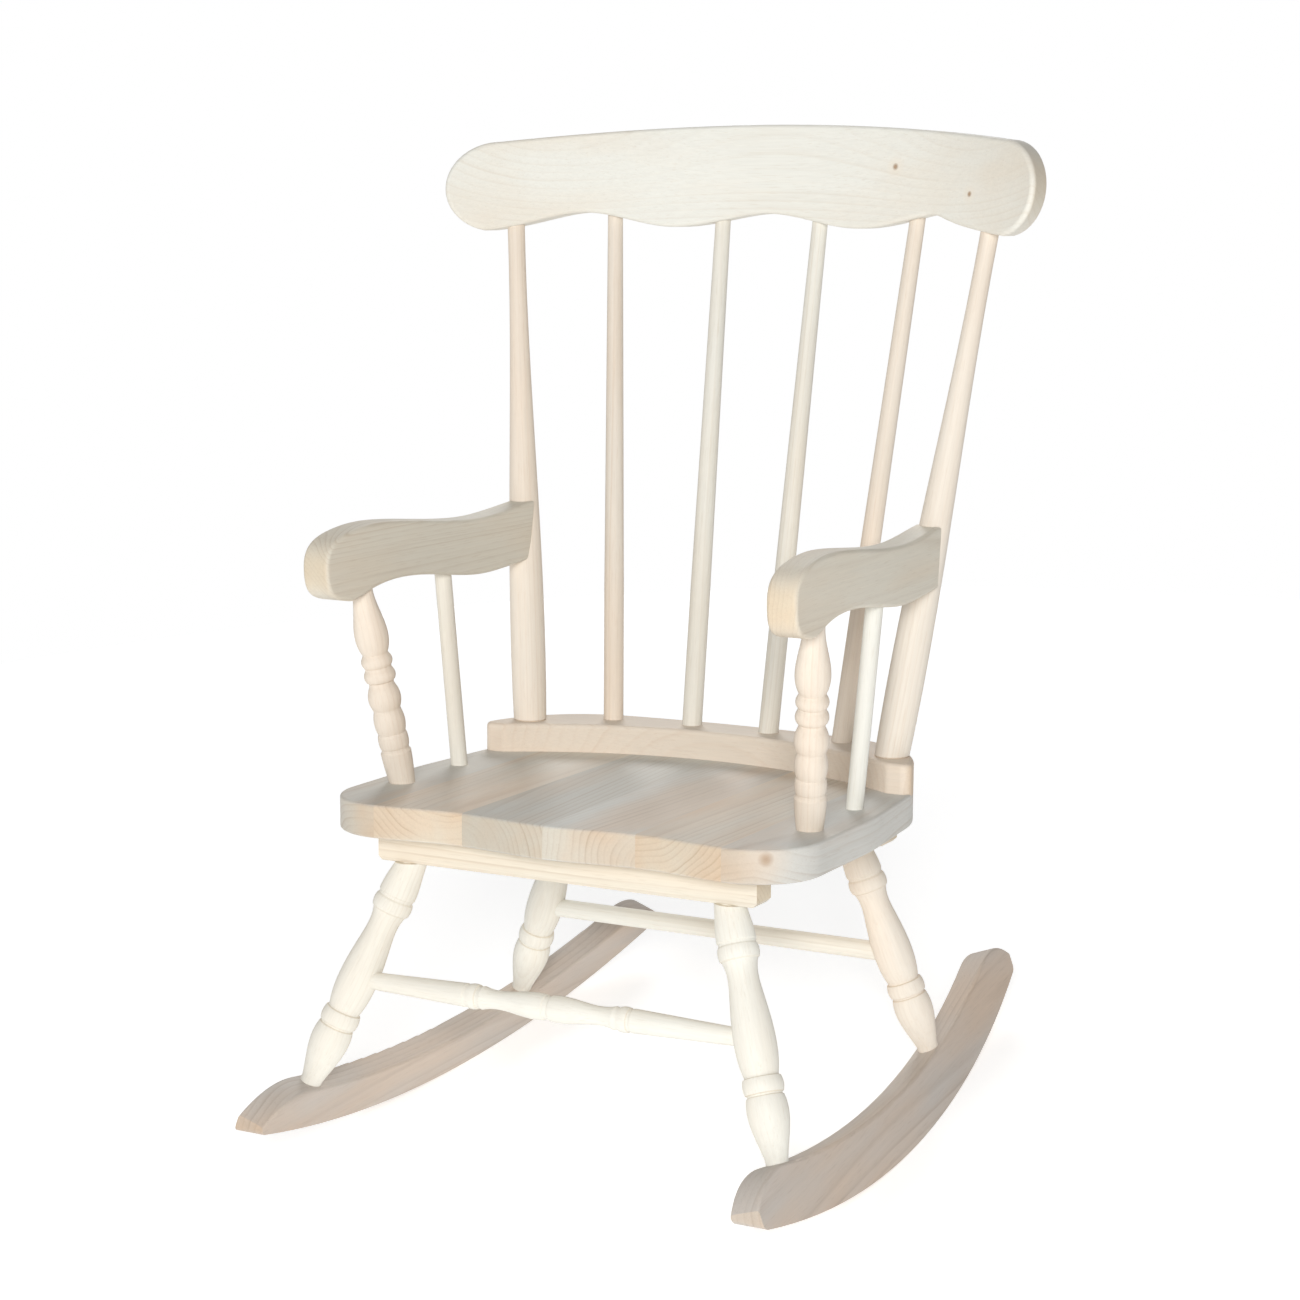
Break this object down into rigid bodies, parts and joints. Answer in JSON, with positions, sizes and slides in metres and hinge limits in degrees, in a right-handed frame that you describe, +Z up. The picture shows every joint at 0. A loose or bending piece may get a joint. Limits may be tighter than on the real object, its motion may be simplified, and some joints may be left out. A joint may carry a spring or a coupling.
{
  "type": "child's rocking chair",
  "caption": "Child's spindle-back rocking chair in bare pale wood: curved crest rail, shaped arms, turned splayed legs, stretchers and sawn rockers.",
  "frame": {"origin": "on the floor, at the centre of the footprint of the overall box, with the chair at rest", "axes": "+Z up, -Y the way the sitter faces, +X towards the sitter's left; the chair is symmetric about X = 0"},
  "size_m": [0.445, 0.4842, 0.6418],
  "materials": {
    "seat_wood": "sanded, unfinished",
    "riser_wood": "sanded, unfinished",
    "crest_wood": "sanded, unfinished",
    "arm_wood": "sanded, unfinished",
    "rocker_wood": "sanded, unfinished",
    "cleat_wood": "sanded, unfinished",
    "spindle_wood": "sanded, unfinished",
    "turned_wood": "sanded, unfinished",
    "zinc_steel": "zinc plated"
  },
  "bodies": {
    "root": {"arm_left": "arm_wood", "arm_post_left": "turned_wood", "arm_post_right": "turned_wood", "arm_right": "arm_wood", "arm_screws": "zinc_steel", "arm_spindle_left": "spindle_wood", "arm_spindle_right": "spindle_wood", "back_post_left": "spindle_wood", "back_post_right": "spindle_wood", "back_riser": "riser_wood", "back_spindle_1": "spindle_wood", "back_spindle_2": "spindle_wood", "back_spindle_3": "spindle_wood", "back_spindle_4": "spindle_wood", "cleat_screws": "zinc_steel", "crest_rail": "crest_wood", "front_cleat": "cleat_wood", "front_stretcher": "turned_wood", "leg_front_left": "turned_wood", "leg_front_right": "turned_wood", "leg_rear_left": "turned_wood", "leg_rear_right": "turned_wood", "rear_cleat": "cleat_wood", "rear_stretcher": "turned_wood", "riser_screws": "zinc_steel", "rocker_left": "rocker_wood", "rocker_right": "rocker_wood", "seat_stave_1": "seat_wood", "seat_stave_2": "seat_wood", "seat_stave_3": "seat_wood", "seat_stave_4": "seat_wood", "seat_stave_5": "seat_wood", "seat_stave_6": "seat_wood"}
  },
  "joints": []
}
